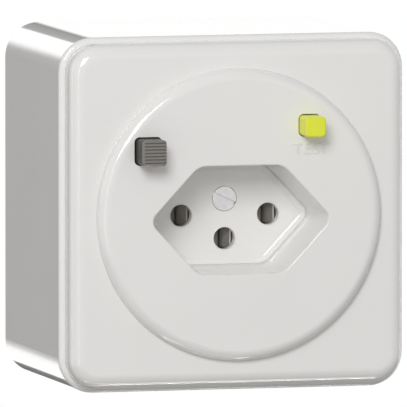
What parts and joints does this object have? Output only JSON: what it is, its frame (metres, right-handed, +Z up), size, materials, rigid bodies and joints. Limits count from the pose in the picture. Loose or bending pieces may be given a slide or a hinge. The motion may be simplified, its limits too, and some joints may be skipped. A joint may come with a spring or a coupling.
{
  "type": "gfci outlet",
  "caption": "Surface-mounted safety socket outlet with a hexagonal recess for round pins and push buttons for test and reset.",
  "frame": {"origin": "centre of the back face, on the wall plane", "axes": "+X right and +Z up as the outlet hangs, +Y into the wall, so the front faces -Y"},
  "size_m": [0.0752, 0.0605, 0.0752],
  "materials": {
    "white_plastic": "glossy moulded white plastic",
    "grey_plastic": "moulded warm grey plastic",
    "lime_plastic": "moulded yellow-green plastic",
    "insulator": "matte thermoset insulation",
    "zinc_steel": "zinc-plated steel",
    "spring_steel": "drawn spring steel",
    "contact_brass": "rolled contact brass, tin flashed on the leaves",
    "silver_tip": "silver alloy",
    "copper": "bare and enamelled copper",
    "core_metal": "tape-wound core",
    "board_laminate": "glass-fibre laminate",
    "black_epoxy": "moulded epoxy",
    "capacitor_can": "drawn can",
    "blue_coating": "dipped coating",
    "resistor_body": "lacquered body"
  },
  "bodies": {
    "housing": {"surface_box": "white_plastic", "cover_frame": "white_plastic", "centre_plate": "white_plastic", "insert_base": "insulator", "insert_cover": "insulator", "support_strap": "zinc_steel", "strap_screws": "zinc_steel", "insert_screws": "zinc_steel", "centre_screw": "zinc_steel", "threaded_bush": "contact_brass", "line_contact": "contact_brass", "neutral_contact": "contact_brass", "earth_contact": "contact_brass", "line_feed": "contact_brass", "neutral_feed": "contact_brass", "line_terminal": "contact_brass", "neutral_terminal": "contact_brass", "earth_terminal": "contact_brass", "terminal_screws": "zinc_steel", "line_conductor": "copper", "neutral_conductor": "copper", "transformer_core": "core_metal", "secondary_winding": "copper", "circuit_board": "board_laminate", "control_chip": "black_epoxy", "filter_capacitor": "capacitor_can", "varistor": "blue_coating", "test_resistor": "resistor_body", "test_pads": "contact_brass", "trip_bobbin": "insulator", "trip_winding": "copper", "trip_yoke": "zinc_steel", "latch_pin": "zinc_steel", "reset_spring": "spring_steel", "test_spring": "spring_steel", "carrier_spring": "spring_steel", "plunger_spring": "spring_steel"},
    "reset": {"reset_button": "grey_plastic"},
    "carrier": {"contact_carrier": "insulator", "contact_bridges": "contact_brass", "moving_tips": "silver_tip"},
    "test": {"test_button": "lime_plastic", "test_bridge": "contact_brass"},
    "plunger": {"trip_plunger": "zinc_steel"},
    "latch": {"trip_latch": "zinc_steel"}
  },
  "joints": [
    {"name": "reset_press", "type": "slide", "parent": "housing", "child": "reset", "axis": [0, 1, 0], "range_m": [0, 0.0025], "stiffness_N_per_m": 1200, "springref_m": -0.001, "deforming": ["reset_spring"]},
    {"name": "carrier_slide", "type": "slide", "parent": "housing", "child": "carrier", "axis": [0, 1, 0], "range_m": [0, 0.0025], "stiffness_N_per_m": 400, "springref_m": -0.001, "deforming": ["carrier_spring"]},
    {"name": "test_press", "type": "slide", "parent": "housing", "child": "test", "axis": [0, 1, 0], "range_m": [0, 0.0015], "stiffness_N_per_m": 1200, "springref_m": -0.001, "deforming": ["test_spring"]},
    {"name": "plunger_slide", "type": "slide", "parent": "housing", "child": "plunger", "axis": [1, 0, 0], "range_m": [0, 0.0015], "stiffness_N_per_m": 400, "springref_m": -0.001, "deforming": ["plunger_spring"]},
    {"name": "latch_turn", "type": "hinge", "parent": "housing", "child": "latch", "pos_m": [-0.0168, -0.021, 0.009], "axis": [0, 1, 0], "range_deg": [0, 8.7]}
  ],
  "couplings": [
    {"joint": "carrier_slide", "follows": "reset_press", "ratio": 1},
    {"joint": "latch_turn", "follows": "plunger_slide", "rad_per_m": 100}
  ]
}
